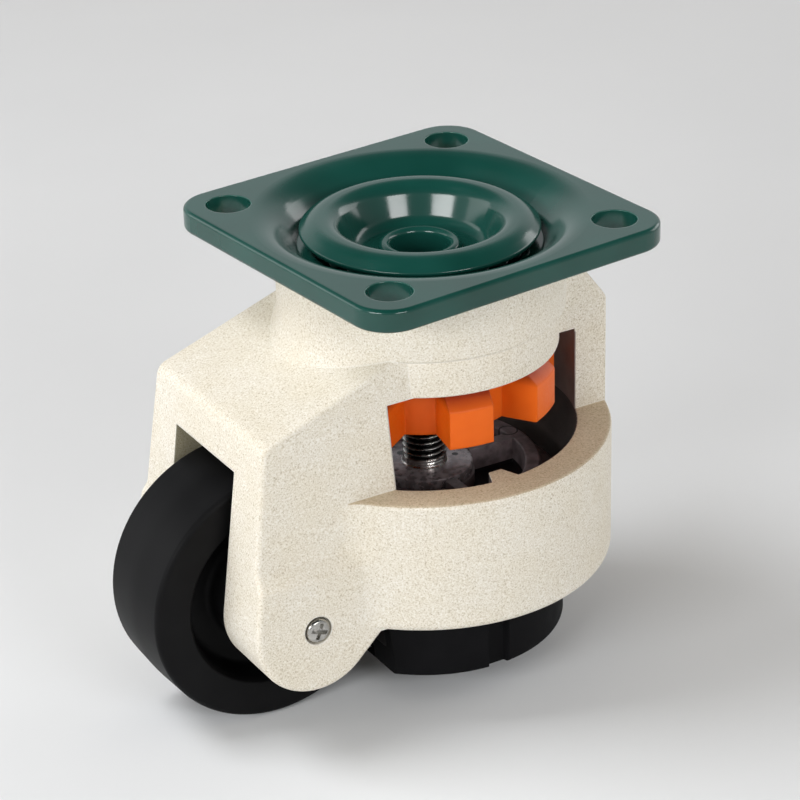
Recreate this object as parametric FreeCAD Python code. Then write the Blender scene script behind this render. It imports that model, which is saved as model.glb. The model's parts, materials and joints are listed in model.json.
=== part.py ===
"""Levelling castor: a swivel castor with a screw foot beside its wheel.

The origin is the centre of the plate's top face, on the swivel axis.
+Z is up, out of the mounting face. +X runs from the wheel to the foot's ring.
All sizes are in millimetres. Depths are counted down from the mounting face.
"""

import FreeCAD, Part
import math
import os

# Mounting plate
plate_side = 95.0
plate_thickness = 6.2
plate_corner_radius = 10.5
plate_edge_radius = 1.1
plate_turn_deg = 5.8
hole_spacing = 72.0
hole_radius = 6.0

# Round dip and race hub in the middle of the plate
dip_radius = 40.0
dip_rounding = 12.6
channel_radius = 33.4
channel_depth = 6.6
hub_radius = 35.0
hub_flare = 4.0
hub_wall = 4.9
plate_bore_radius = 22.6

# Dish over the upper balls
dish_thickness = 2.4
dish_radius = 32.0
dish_rim_depth = 3.9
dish_edge_radius = 0.7
dish_crest_radius = 26.2
dish_crest_depth = 0.95
dish_crest_rounding = 5.9
dish_shoulder_width = 2.1
bowl_edge_width = 3.9
bowl_radius = 17.7
bowl_depth = 11.4
bowl_rounding = 4.0

# Balls
ball_radius = 3.0
ball_spacing = 0.4
race_depth = 1.4
ball_running_gap = 0.35
ball_seat_gap = 0.12
lower_ball_circle = 29.0
race_ring_thickness = 3.4
race_ring_bore = 22.0

# King stud
stud_radius = 9.5
stud_bore_radius = 7.8
stud_flange_radius = 11.0
stud_flange_thickness = 3.3
stud_flange_rounding = 1.5
stud_head_radius = 12.2
stud_head_thickness = 2.3
stud_edge = 0.8

# Cast fork: boss and skirt
boss_radius = 38.3
boss_top_depth = 10.6
boss_step_depth = 25.5
boss_clearance = 0.6
boss_hub_radius = 14.5
web_depth = 27.5
skirt_radius = 36.4
skirt_wall = 3.8
skirt_depth = 36.6
flare_radius = 8.0

# Cast fork: arms
fork_half_width = 29.9
fork_top_depth = 39.3
fork_end = 64.3
fork_inside_end = 15.0
roof_slope = 0.368
roof_end_rounding = 4.0
side_flare = 0.052
ledge_depth = 73.5
ledge_height = 4.3
ledge_width = 2.7
lobe_radius = 17.5
lobe_tail = 34.0
slot_half_width = 16.25
crown_thickness = 11.0
arm_edge_radius = 1.5

# Cast fork: ring, pillar and keys
ring_bore_radius = 41.0
ring_radius = 50.5
ring_top_depth = 60.5
ring_bottom_depth = 97.8
ring_edge_radius = 1.0
ring_foot_radius = 2.5
web_radius = 10.0
web_bite = 0.06
pillar_half_width = 17.0
pillar_shoulder_depth = 29.8
pillar_slope = 1.37
pillar_rounding = 3.0
key_tip_radius = 36.0
key_base_half = 4.3
key_tip_half = 1.9

# Wheel and axle
axle_back = 53.5
axle_depth = 92.0
axle_radius = 3.5
axle_end_recess = 1.2
wheel_radius = 36.0
wheel_half = 13.4
tread_crown = 0.5
tread_shoulder = 1.4
rim_step_radius = 25.6
rim_step_depth = 1.6
web_half = 5.0
rim_wall = 11.2
wheel_hub_radius = 14.5
wheel_hub_half = 14.6
wheel_draft = 1.2

# Wheel bearings
bearing_radius = 9.5
bearing_width = 6.0
bearing_inset = 0.3
inner_race_radius = 5.3
outer_race_radius = 7.75
wheel_ball_radius = 1.98
wheel_ball_circle = 6.5
wheel_ball_count = 7
wheel_ball_gap = 0.1
shield_thickness = 0.35
shield_inset = 0.3
shaft_gap = 0.03
bearing_shoulder = 1.4
sleeve_wall = 1.7
spacer_radius = 5.1

# Axle screws
screw_head_radius = 3.4
screw_head_height = 2.3
screw_shank_radius = 2.0
screw_shank_length = 10.0
screw_seat_sink = 1.3
screw_seat_gap = 0.5
cross_width = 1.1
cross_length = 4.6
cross_depth = 1.5

# Levelling screw, nut and thumb wheel
thread_radius = 6.0
thread_pitch = 1.75
thread_turns = 9
thread_gap = 0.05
thread_top_depth = 14.5
thrust_thickness = 1.5
thrust_radius = 15.5
thrust_gap = 0.1
nut_flange_radius = 15.5
nut_flange_thickness = 3.0
nut_across_flats = 22.0
nut_spigot_radius = 10.8
nut_spigot_length = 3.4
nut_recess_gap = 0.7
keeper_radius = 24.5
keeper_thickness = 1.5
keeper_gap = 0.3
keeper_hole_gap = 0.6
keeper_screw_radius = 1.5
keeper_screw_length = 4.5
keeper_head_radius = 2.6
keeper_head_height = 1.6
keeper_screw_count = 3
thumb_wheel_radius = 36.0
thumb_root_radius = 26.0
thumb_bottom_depth = 52.2
thumb_face_height = 10.7
thumb_chamfer = 5.2
thumb_gap = 0.7
thumb_lug_count = 8
thumb_lug_half = 6.05
thumb_lug_turn_deg = -100.0
thumb_fit = 0.05
thumb_core_inner = 15.6
thumb_core_outer = 23.0
thumb_core_depth = 9.0
clip_radius = 13.8
clip_thickness = 1.1
clip_groove = 0.9
clip_gap_deg = 60.0

# Foot
foot_radius = 37.5
foot_bottom_depth = 118.8
foot_disc_depth = 73.0
foot_disc_radius = 31.5
foot_disc_height = 6.0
foot_shoulder_edge = 1.5
foot_flat = 26.0
foot_flat_lean = 0.085
foot_wheel_gap = 2.3
foot_flange_radius = 13.0
foot_flange_thickness = 3.0
foot_flange_rise = 0.4
foot_recess_outer = 27.2
foot_recess_depth = 7.5
foot_recess_wall = 4.0
foot_rib_count = 4
foot_rib_half = 1.7
foot_key_gap = 0.6
foot_pocket_radius = 13.5
foot_pocket_height = 11.2
foot_nut_across_flats = 18.0
foot_nut_height = 8.0
foot_washer_radius = 12.0
foot_washer_thickness = 2.0
shoe_top_gap = 0.5
shoe_wall = 2.3
shoe_floor = 7.0
shoe_tread_groove = 1.2
shoe_tread_width = 2.4
shoe_fit = 0.05

# Directions
UP = FreeCAD.Vector(0, 0, 1)
ALONG_Y = FreeCAD.Vector(0, 1, 0)
ORIGIN = FreeCAD.Vector(0, 0, 0)


def on_rz(radius, depth):
    """A point of a turned profile: radius along +X, depth down."""
    return FreeCAD.Vector(radius, 0, -depth)


def on_xz(x, depth):
    """A point of a side outline, drawn on the plane y = 0."""
    return FreeCAD.Vector(x, 0, -depth)


def on_yz(y, depth):
    """A point of a front outline, drawn on the plane x = 0."""
    return FreeCAD.Vector(0, y, -depth)


def on_xy(x, y):
    """A point of a plan outline, drawn on the mounting face."""
    return FreeCAD.Vector(x, y, 0)


def rounded_wire(corners, place):
    """A closed wire through corners (a, b, radius), each rounded by its radius."""
    count = len(corners)
    ends = []
    for index in range(count):
        a, b, radius = corners[index]
        here = FreeCAD.Vector(a, b, 0)
        before = FreeCAD.Vector(corners[index - 1][0], corners[index - 1][1], 0)
        after_corner = corners[(index + 1) % count]
        after = FreeCAD.Vector(after_corner[0], after_corner[1], 0)
        to_before = (before - here).normalize()
        to_after = (after - here).normalize()
        half = to_before.getAngle(to_after) / 2
        room = 0.49 * min(before.distanceToPoint(here), after.distanceToPoint(here))
        reach = min(radius / math.tan(half), room) if radius else 0.0
        if reach < 1e-6:
            ends.append((here, None, here))
            continue
        used = reach * math.tan(half)
        middle = (to_before + to_after).normalize()
        peak = here + middle * (used / math.sin(half) - used)
        ends.append((here + to_before * reach, peak, here + to_after * reach))
    edges = []
    for index in range(count):
        start, peak, end = ends[index]
        following = ends[(index + 1) % count][0]
        if peak is not None:
            edges.append(Part.Arc(*[place(p.x, p.y) for p in (start, peak, end)]).toShape())
        if end.distanceToPoint(following) > 1e-6:
            edges.append(Part.LineSegment(place(end.x, end.y), place(following.x, following.y)).toShape())
    return Part.Wire(edges)


def turned(corners):
    """A solid of revolution about the swivel axis from (radius, depth, rounding) corners."""
    return Part.Face(rounded_wire(corners, on_rz)).revolve(ORIGIN, UP, 360)


def plain(pairs):
    """Corners with no rounding."""
    return [(a, b, 0.0) for a, b in pairs]


def tube(inner, outer, top, bottom):
    """A plain ring round the swivel axis between two depths."""
    solid = Part.makeCylinder(outer, bottom - top, FreeCAD.Vector(0, 0, -bottom))
    if inner <= 0:
        return solid
    return solid.cut(Part.makeCylinder(inner, bottom - top + 2, FreeCAD.Vector(0, 0, -bottom - 1)))


def side_prism(corners, half_width):
    """A side outline carried across from y = -half_width to y = +half_width."""
    face = Part.Face(rounded_wire(corners, on_xz))
    face.translate(FreeCAD.Vector(0, -half_width, 0))
    return face.extrude(FreeCAD.Vector(0, 2 * half_width, 0))


def turned_about_axle(corners):
    """A solid of revolution about the axle from (radius, y, rounding) corners."""
    wire = rounded_wire(corners, lambda radius, y: FreeCAD.Vector(radius - axle_back, y, -axle_depth))
    return Part.Face(wire).revolve(FreeCAD.Vector(-axle_back, 0, -axle_depth), ALONG_Y, 360)


def axle_tube(inner, outer, low, high):
    """A plain ring round the axle between two values of y."""
    return turned_about_axle(plain([(inner, low), (outer, low), (outer, high), (inner, high)]))


def hexagon(across_flats, top, bottom):
    """A hexagonal bar on the swivel axis."""
    reach = across_flats / math.sqrt(3)
    points = []
    for step in range(7):
        angle = math.radians(60 * step)
        points.append(FreeCAD.Vector(reach * math.cos(angle), reach * math.sin(angle), -bottom))
    return Part.Face(Part.makePolygon(points)).extrude(FreeCAD.Vector(0, 0, bottom - top))


def ball_ring(radius, circle, depth, count):
    """Balls spaced evenly on a circle round the swivel axis."""
    balls = []
    for index in range(count):
        angle = 2 * math.pi * index / count
        centre = FreeCAD.Vector(circle * math.cos(angle), circle * math.sin(angle), -depth)
        balls.append(Part.makeSphere(radius, centre))
    return Part.makeCompound(balls)


def round_groove(circle, depth, radius):
    """A ring of round section, used to cut a ball groove."""
    return Part.makeTorus(circle, radius, FreeCAD.Vector(0, 0, -depth), UP)


def balls_that_fit(circle):
    """How many balls go round a circle with the named space between them."""
    return int(2 * math.pi * circle / (2 * ball_radius + ball_spacing))


# Stack of depths down the swivel axis
upper_ball_circle = dish_crest_radius
upper_ball_depth = dish_crest_depth + dish_thickness + ball_seat_gap + ball_radius
land_depth = upper_ball_depth + ball_radius - race_depth
hub_depth = land_depth + hub_wall
lower_ball_depth = hub_depth + ball_radius - race_depth
race_ring_depth = lower_ball_depth + ball_radius - race_depth
seat_depth = race_ring_depth + race_ring_thickness
hub_top_depth = bowl_depth + dish_thickness
thrust_depth = web_depth + thrust_gap / 2
nut_flange_depth = thrust_depth + thrust_thickness + thrust_gap
nut_flange_bottom = nut_flange_depth + nut_flange_thickness
keeper_depth = nut_flange_bottom + keeper_gap
keeper_bottom = keeper_depth + keeper_thickness
keeper_hole_radius = nut_across_flats / math.sqrt(3) + keeper_hole_gap
keeper_screw_circle = (nut_flange_radius + nut_recess_gap + keeper_radius) / 2
thumb_top_depth = keeper_bottom + keeper_head_height + thumb_gap
clip_depth = thumb_bottom_depth + thumb_fit
foot_travel = thread_pitch * thread_turns
cup_web_bottom = foot_bottom_depth - shoe_floor - foot_pocket_height
shoe_top_depth = ring_bottom_depth + shoe_top_gap
cup_bottom = foot_bottom_depth - shoe_floor - shoe_fit
flange_top_depth = foot_disc_depth - foot_flange_rise
flange_bottom_depth = flange_top_depth + foot_flange_thickness


def roof_depth(x):
    """Depth of the sloping roof at a place along X."""
    return fork_top_depth - roof_slope * (x + fork_end)


def side_half_width(depth):
    """Half width across the arms' outer faces above the ledge."""
    return fork_half_width + side_flare * (depth - fork_top_depth)


def lobe_half_width(depth):
    """Half width across the arms' outer faces below the ledge."""
    return side_half_width(depth) + ledge_width


def tangent_point(x, depth, side):
    """Where a line from a point touches the lobe's circle, on the side asked for."""
    across = -axle_back - x
    down = axle_depth - depth
    distance = math.hypot(across, down)
    angle = math.atan2(down, across) + side * math.asin(lobe_radius / distance)
    length = math.sqrt(distance ** 2 - lobe_radius ** 2)
    return (x + length * math.cos(angle), depth + length * math.sin(angle))


def top_plate():
    """Square plate with a round dip, four holes and the race hub beneath."""
    half = plate_side / 2
    square = [(-half, -half), (half, -half), (half, half), (-half, half)]
    outline = rounded_wire([(x, y, plate_corner_radius) for x, y in square], on_xy)
    slab = Part.Face(outline).extrude(FreeCAD.Vector(0, 0, -plate_thickness))
    rim = [e for e in slab.Edges if abs(e.CenterOfMass.z + plate_thickness / 2) > plate_thickness / 2 - 0.01]
    slab = slab.makeFillet(plate_edge_radius, rim)
    drill = plate_thickness + 2
    for x in (-1, 1):
        for y in (-1, 1):
            place = FreeCAD.Vector(x * hole_spacing / 2, y * hole_spacing / 2, 0)
            slab = slab.cut(Part.makeCylinder(hole_radius, drill, place - UP * (drill - 1)))
    slab.rotate(ORIGIN, UP, plate_turn_deg)
    half_depth = plate_thickness / 2
    hub = turned(plain([(plate_bore_radius, half_depth), (hub_radius + hub_flare, half_depth)]) + [
        (hub_radius + hub_flare, plate_thickness, 0.0),
        (hub_radius, plate_thickness + hub_flare, 0.0),
        (hub_radius, hub_depth, plate_edge_radius),
        (plate_bore_radius, hub_depth, 0.0),
    ])
    channel_foot = channel_radius - 0.75 * (land_depth - channel_depth)
    dip = turned([
        (0.0, -2.0, 0.0),
        (dip_radius + dip_rounding, -2.0, 0.0),
        (dip_radius + dip_rounding, 0.0, 0.0),
        (dip_radius, 0.0, dip_rounding),
        (channel_radius, channel_depth, 1.5),
        (channel_foot, land_depth, 0.0),
        (plate_bore_radius, land_depth, 0.0),
        (plate_bore_radius, hub_depth + 2, 0.0),
        (0.0, hub_depth + 2, 0.0),
    ])
    plate = slab.fuse(hub).cut(dip)
    plate = plate.cut(round_groove(upper_ball_circle, upper_ball_depth, ball_radius + ball_running_gap))
    plate = plate.cut(round_groove(lower_ball_circle, lower_ball_depth, ball_radius + ball_running_gap))
    return plate.removeSplitter()


def offset_corners(corners, distance):
    """The same open path moved sideways by a distance, with its roundings fitted to it."""
    moved = []
    last = len(corners) - 1
    for index, (a, b, radius) in enumerate(corners):
        normals = []
        for first, second in ((index - 1, index), (index, index + 1)):
            if first < 0 or second > last:
                continue
            run = corners[second][0] - corners[first][0]
            fall = corners[second][1] - corners[first][1]
            length = math.hypot(run, fall)
            normals.append((fall / length, -run / length))
        if len(normals) == 1:
            shift = normals[0]
            turn = 0.0
        else:
            (p, q), (s, t) = normals
            scale = 1.0 / (1.0 + p * s + q * t)
            shift = ((p + s) * scale, (q + t) * scale)
            turn = p * t - q * s
        change = -distance if turn < 0 else distance
        new_radius = max(radius + change, 0.2) if radius else 0.0
        moved.append((a + shift[0] * distance, b + shift[1] * distance, new_radius))
    return moved


def race_dish():
    """Pressed cover of the upper balls: a raised ring round a bowl."""
    top = [
        (dish_radius, dish_rim_depth, 0.0),
        (dish_crest_radius + dish_shoulder_width, dish_crest_depth, dish_crest_rounding),
        (dish_crest_radius - bowl_edge_width, dish_crest_depth, dish_crest_rounding),
        (bowl_radius, bowl_depth, bowl_rounding),
        (stud_radius + shaft_gap, bowl_depth, 0.0),
    ]
    under = offset_corners(top, dish_thickness)
    rim = [under[0][:2] + (dish_edge_radius,)]
    top[0] = top[0][:2] + (dish_edge_radius,)
    return turned(top + under[:0:-1] + rim)


def king_stud():
    """Hollow stud that holds the dish down on the fork."""
    top = bowl_depth - stud_flange_thickness
    return turned([
        (stud_bore_radius, top, stud_flange_rounding),
        (stud_flange_radius, top, stud_flange_rounding),
        (stud_flange_radius, bowl_depth, 0.0),
        (stud_radius, bowl_depth, 0.0),
        (stud_radius, web_depth - stud_head_thickness, 0.0),
        (stud_head_radius, web_depth - stud_head_thickness, 0.0),
        (stud_head_radius, web_depth, stud_edge),
        (stud_bore_radius, web_depth, 0.0),
    ])


def upper_swivel_balls():
    """Balls between the dish and the plate."""
    return ball_ring(ball_radius, upper_ball_circle, upper_ball_depth, balls_that_fit(upper_ball_circle))


def lower_swivel_balls():
    """Balls between the plate and the race ring in the fork."""
    return ball_ring(ball_radius, lower_ball_circle, lower_ball_depth, balls_that_fit(lower_ball_circle))


def lower_race_ring():
    """Hardened ring in the fork's seat, grooved for the lower balls."""
    outer = hub_radius + boss_clearance - shaft_gap
    ring = tube(race_ring_bore, outer, race_ring_depth, seat_depth)
    return ring.cut(round_groove(lower_ball_circle, lower_ball_depth, ball_radius + ball_seat_gap))


def fork_side_outline():
    """Side outline of the arms: roof, leaning end, round lobe and the run up to the ring."""
    inside = -fork_inside_end
    end_touch = tangent_point(-fork_end, fork_top_depth, 1)
    tail_touch = tangent_point(-lobe_tail, ring_bottom_depth, -1)
    bottom = (-axle_back, axle_depth + lobe_radius)
    lean = math.atan2(end_touch[1] - fork_top_depth, end_touch[0] + fork_end)
    climb = math.atan2(-roof_slope, 1.0)
    half = (lean - climb) / 2
    reach = roof_end_rounding / math.tan(half)
    on_end = (-fork_end + reach * math.cos(lean), fork_top_depth + reach * math.sin(lean))
    on_roof = (-fork_end + reach * math.cos(climb), fork_top_depth + reach * math.sin(climb))
    inward = (lean + climb) / 2
    out = roof_end_rounding / math.sin(half) - roof_end_rounding
    peak = (-fork_end + out * math.cos(inward), fork_top_depth + out * math.sin(inward))
    edges = [
        Part.Arc(on_xz(*on_end), on_xz(*peak), on_xz(*on_roof)).toShape(),
        Part.LineSegment(on_xz(*on_roof), on_xz(inside, roof_depth(inside))).toShape(),
        Part.LineSegment(on_xz(inside, roof_depth(inside)), on_xz(inside, ring_bottom_depth)).toShape(),
        Part.LineSegment(on_xz(inside, ring_bottom_depth), on_xz(-lobe_tail, ring_bottom_depth)).toShape(),
        Part.LineSegment(on_xz(-lobe_tail, ring_bottom_depth), on_xz(*tail_touch)).toShape(),
        Part.Arc(on_xz(*tail_touch), on_xz(*bottom), on_xz(*end_touch)).toShape(),
        Part.LineSegment(on_xz(*end_touch), on_xz(*on_end)).toShape(),
    ]
    return Part.Wire(edges)


def fork_front_outline():
    """Front outline of the arms: flared sides with a ledge above the axle lobes."""
    top = roof_depth(-fork_inside_end) - 5
    low = axle_depth + lobe_radius + 5
    ledge_bottom = ledge_depth + ledge_height
    near = [
        (side_half_width(top), top, 0.0),
        (side_half_width(ledge_depth), ledge_depth, 2.0),
        (lobe_half_width(ledge_bottom), ledge_bottom, 1.5),
        (lobe_half_width(low), low, 0.0),
    ]
    far = [(-y, depth, radius) for y, depth, radius in reversed(near)]
    return rounded_wire(near + far, on_yz)


def arms():
    """The two arms and the roof as one block, before the slot is cut."""
    outline = fork_side_outline()
    wide = 2 * lobe_half_width(axle_depth + lobe_radius)
    side = Part.Face(outline)
    side.translate(FreeCAD.Vector(0, -wide / 2, 0))
    block = side.extrude(FreeCAD.Vector(0, wide, 0))
    front = Part.Face(fork_front_outline())
    front.translate(FreeCAD.Vector(-axle_back - 2 * lobe_radius, 0, 0))
    block = block.common(front.extrude(FreeCAD.Vector(axle_back + 2 * lobe_radius, 0, 0)))
    rims = []
    for edge in block.Edges:
        middle = edge.valueAt((edge.FirstParameter + edge.LastParameter) / 2)
        flat = Part.Vertex(middle.x, 0, middle.z)
        if abs(middle.y) < slot_half_width or middle.x > -fork_inside_end - 0.5:
            continue
        if middle.x > -lobe_tail and middle.z < -ledge_depth:
            continue
        if flat.distToShape(outline)[0] < 0.01:
            rims.append(edge)
    return block.makeFillet(arm_edge_radius, rims)


def boss():
    """Round boss with its skirt, and the flare that runs out over the roof."""
    body = turned([
        (0.0, boss_top_depth, 0.0),
        (boss_radius, boss_top_depth, 0.8),
        (boss_radius, boss_step_depth, 1.0),
        (skirt_radius, boss_step_depth + 1.0, 0.0),
        (skirt_radius, skirt_depth, 0.6),
        (0.0, skirt_depth, 0.0),
    ])
    front = roof_depth(-boss_radius)
    run = 2 * flare_radius
    flare = turned([
        (0.0, boss_top_depth + 1, 0.0),
        (boss_radius, boss_top_depth + 1, 0.0),
        (boss_radius, front, flare_radius),
        (boss_radius + run, front + run * roof_slope, 0.0),
        (boss_radius + run, front + run, 0.0),
        (0.0, front + run, 0.0),
    ])
    half = fork_half_width - 1.0
    front_half = Part.makeBox(fork_end, 2 * half, skirt_depth, FreeCAD.Vector(-fork_end, -half, -skirt_depth))
    return body.fuse(flare.common(front_half))


def ring():
    """Lower ring that guides the foot, with a key on each side."""
    band = turned([
        (ring_bore_radius, ring_top_depth, ring_edge_radius / 2),
        (ring_radius, ring_top_depth, ring_edge_radius),
        (ring_radius, ring_bottom_depth, ring_foot_radius),
        (ring_bore_radius, ring_bottom_depth, ring_edge_radius),
    ])
    return band


def web_section(depth):
    """Plan outline of the rounded corner between an arm and the ring at one depth."""
    arm = arm_half_width(depth) - web_bite
    centre_y = arm + web_radius
    reach = ring_radius - web_bite + web_radius
    centre_x = -math.sqrt(reach ** 2 - centre_y ** 2)
    on_arm = FreeCAD.Vector(centre_x, arm, -depth)
    scale = (ring_radius - web_bite) / reach
    on_ring = FreeCAD.Vector(centre_x * scale, centre_y * scale, -depth)
    middle = (on_arm + on_ring) * 0.5 - FreeCAD.Vector(centre_x, centre_y, -depth)
    peak = FreeCAD.Vector(centre_x, centre_y, -depth) + middle.normalize() * web_radius
    inside = [
        FreeCAD.Vector(centre_x * scale * 0.93, centre_y * scale * 0.93, -depth),
        FreeCAD.Vector(centre_x * 0.93, arm - 2.0, -depth),
        FreeCAD.Vector(centre_x, arm - 2.0, -depth),
    ]
    corners = [on_ring] + inside + [on_arm]
    edges = [Part.Arc(on_arm, peak, on_ring).toShape()]
    for first, second in zip(corners, corners[1:]):
        edges.append(Part.LineSegment(first, second).toShape())
    return Part.Wire(edges)


def arm_half_width(depth):
    """Half width across the arms' outer faces at any depth."""
    share = (depth - ledge_depth) / ledge_height
    return side_half_width(depth) + ledge_width * min(max(share, 0.0), 1.0)


def curved_rim(piece, depth):
    """The one curved edge of a web at a depth."""
    rims = []
    for edge in piece.Edges:
        flat = abs(edge.CenterOfMass.z + depth) < 0.01
        chord = edge.Vertexes[0].Point.distanceToPoint(edge.Vertexes[-1].Point)
        if flat and edge.Length > chord + 0.01:
            rims.append(edge)
    return rims


def webs():
    """Rounded corners where the arms run into the ring."""
    levels = [ring_top_depth, ledge_depth, ledge_depth + ledge_height, ring_bottom_depth]
    pieces = []
    for high, low in zip(levels, levels[1:]):
        piece = Part.makeLoft([web_section(high), web_section(low)], True, True)
        if high == ring_top_depth:
            piece = piece.makeFillet(ring_edge_radius, curved_rim(piece, high))
        if low == ring_bottom_depth:
            piece = piece.makeFillet(ring_foot_radius, curved_rim(piece, low))
        pieces.append(piece)
    near_and_far = []
    for piece in pieces:
        near_and_far += [piece, piece.mirror(ORIGIN, ALONG_Y)]
    return near_and_far


def keys(gap):
    """Tapered ribs at the two sides of the ring, grown by a gap for the foot's grooves."""
    base = ring_bore_radius + 1.0
    shapes = []
    for side in (-1, 1):
        corners = [
            (-key_base_half - gap, side * base),
            (key_base_half + gap, side * base),
            (key_tip_half + gap, side * (key_tip_radius - gap)),
            (-key_tip_half - gap, side * (key_tip_radius - gap)),
        ]
        face = Part.Face(rounded_wire(plain(corners), on_xy))
        face.translate(FreeCAD.Vector(0, 0, -ring_bottom_depth - (30 if gap else 0)))
        tall = ring_bottom_depth - ring_top_depth + (60 if gap else 0)
        shapes.append(face.extrude(FreeCAD.Vector(0, 0, tall)))
    return shapes


def pillar():
    """Rear pillar between the boss and the ring, with its sloping top."""
    inner = skirt_radius - 0.5
    top = pillar_shoulder_depth - (ring_radius - boss_radius) * pillar_slope
    body = turned([
        (inner, top, 0.0),
        (boss_radius, top, 0.0),
        (ring_radius, pillar_shoulder_depth, pillar_rounding),
        (ring_radius, ring_top_depth + 2, 0.0),
        (inner, ring_top_depth + 2, 0.0),
    ])
    slab = Part.makeBox(ring_radius, 2 * pillar_half_width, ring_bottom_depth,
                        FreeCAD.Vector(0, -pillar_half_width, -ring_bottom_depth))
    body = body.common(slab)
    outer = []
    for edge in body.Edges:
        middle = edge.valueAt((edge.FirstParameter + edge.LastParameter) / 2)
        on_side = abs(abs(middle.y) - pillar_half_width) < 0.01
        reach = math.hypot(middle.x, middle.y)
        if on_side and reach > boss_radius + 0.5 and middle.z > -ring_top_depth - 1.9:
            outer.append(edge)
    return body.makeFillet(arm_edge_radius, outer)


def wheel_slot():
    """Space between the arms for the wheel, open below and at the end."""
    far = axle_back + 2 * lobe_radius
    near = ring_bore_radius - 8
    low = axle_depth + 2 * lobe_radius
    corners = [
        (-far, roof_depth(-far) + crown_thickness),
        (-near, roof_depth(-near) + crown_thickness),
        (-near, low),
        (-far, low),
    ]
    return side_prism(plain(corners), slot_half_width)


def fork_hollows():
    """Everything that is taken out of the cast fork round the swivel axis."""
    bearing = turned(plain([
        (0.0, 0.0),
        (hub_radius + boss_clearance, 0.0),
        (hub_radius + boss_clearance, seat_depth),
        (boss_hub_radius, seat_depth),
        (boss_hub_radius, hub_top_depth),
        (0.0, hub_top_depth),
    ]))
    recess = nut_flange_radius + nut_recess_gap
    under = turned(plain([
        (0.0, web_depth),
        (recess, web_depth),
        (recess, keeper_depth),
        (keeper_radius, keeper_depth),
        (keeper_radius, web_depth),
        (skirt_radius - skirt_wall, web_depth),
        (skirt_radius - skirt_wall, skirt_depth + 1),
        (0.0, skirt_depth + 1),
    ]))
    bore = tube(0.0, ring_bore_radius, skirt_depth, ring_bottom_depth + 30)
    stud_hole = tube(0.0, stud_radius + shaft_gap, hub_top_depth - 1, web_depth + 1)
    stud_sink = tube(0.0, stud_head_radius + 2 * shaft_gap, web_depth - stud_head_thickness, web_depth + 1)
    return [bearing, under, bore, stud_hole, stud_sink]


def keeper_places():
    """Where the keeper's screws stand."""
    places = []
    for index in range(keeper_screw_count):
        angle = math.radians(30 + 360 * index / keeper_screw_count)
        places.append((keeper_screw_circle * math.cos(angle), keeper_screw_circle * math.sin(angle)))
    return places


def housing():
    """Cast fork: boss, arms, ring, pillar and keys in one piece."""
    body = arms().fuse([boss(), ring(), pillar()] + webs())
    body = body.cut(fork_hollows() + [wheel_slot()])
    body = body.fuse([key.common(tube(key_tip_radius, ring_radius - 1, ring_top_depth, ring_bottom_depth))
                      for key in keys(0.0)])
    reach = lobe_half_width(axle_depth) + 5
    cuts = [axle_tube(0.0, axle_radius + shaft_gap, -reach, reach)]
    for side in (-1, 1):
        faces = sorted((side * screw_seat(), side * reach))
        cuts.append(axle_tube(0.0, screw_head_radius + screw_seat_gap, faces[0], faces[1]))
    for x, y in keeper_places():
        deep = keeper_screw_length
        place = FreeCAD.Vector(x, y, -keeper_depth)
        cuts.append(Part.makeCylinder(keeper_screw_radius + shaft_gap, deep + 0.5, place))
    return body.cut(cuts).removeSplitter()


def wheel():
    """Moulded wheel: crowned tread, stepped rim, web and hub with bearing seats."""
    shoulder = wheel_bearing_shoulder()
    inner = wheel_radius - rim_wall
    half_profile = [
        (wheel_radius, 0.0, 60.0),
        (wheel_radius - tread_crown, wheel_half, tread_shoulder),
        (rim_step_radius, wheel_half, 0.6),
        (rim_step_radius - 0.8, wheel_half - rim_step_depth, 0.8),
        (inner - wheel_draft, web_half, 2.0),
        (wheel_hub_radius + wheel_draft, web_half, 2.0),
        (wheel_hub_radius, wheel_hub_half, 0.8),
        (bearing_radius, wheel_hub_half, 0.0),
        (bearing_radius, shoulder, 0.0),
        (bearing_radius - bearing_shoulder, shoulder, 0.0),
    ]
    mirrored = [(radius, -y, rounding) for radius, y, rounding in reversed(half_profile[1:])]
    return turned_about_axle(half_profile + mirrored)


def wheel_bearing_shoulder():
    """Height of the wheel's bearing shoulder along the axle."""
    return wheel_hub_half - bearing_inset - bearing_width


def bearing_span(side):
    """Lowest and highest y of the bearing on one side."""
    inner = wheel_bearing_shoulder()
    outer = inner + bearing_width
    return (inner, outer) if side > 0 else (-outer, -inner)


def bearing_groove(side):
    """Ball groove that is cut from both races of one bearing."""
    low, high = bearing_span(side)
    centre = FreeCAD.Vector(-axle_back, (low + high) / 2, -axle_depth)
    return Part.makeTorus(wheel_ball_circle, wheel_ball_radius + wheel_ball_gap, centre, ALONG_Y)


def bearing_inner_race(side):
    """Inner race, fixed on the axle."""
    low, high = bearing_span(side)
    return axle_tube(axle_radius + shaft_gap, inner_race_radius, low, high).cut(bearing_groove(side))


def bearing_outer_race(side):
    """Outer race, pressed in the wheel."""
    low, high = bearing_span(side)
    return axle_tube(outer_race_radius, bearing_radius, low, high).cut(bearing_groove(side))


def bearing_balls(side):
    """Balls of one bearing."""
    low, high = bearing_span(side)
    balls = []
    for index in range(wheel_ball_count):
        angle = 2 * math.pi * index / wheel_ball_count
        x = -axle_back + wheel_ball_circle * math.cos(angle)
        z = -axle_depth + wheel_ball_circle * math.sin(angle)
        balls.append(Part.makeSphere(wheel_ball_radius, FreeCAD.Vector(x, (low + high) / 2, z)))
    return Part.makeCompound(balls)


def bearing_shield(side):
    """Thin shield at the outer face of one bearing, clipped in the outer race."""
    low, high = bearing_span(side)
    outer_face = high - shield_inset if side > 0 else low + shield_inset
    inner_face = outer_face - side * shield_thickness
    faces = sorted((outer_face, inner_face))
    return axle_tube(inner_race_radius + 0.3, outer_race_radius, faces[0], faces[1])


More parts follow.
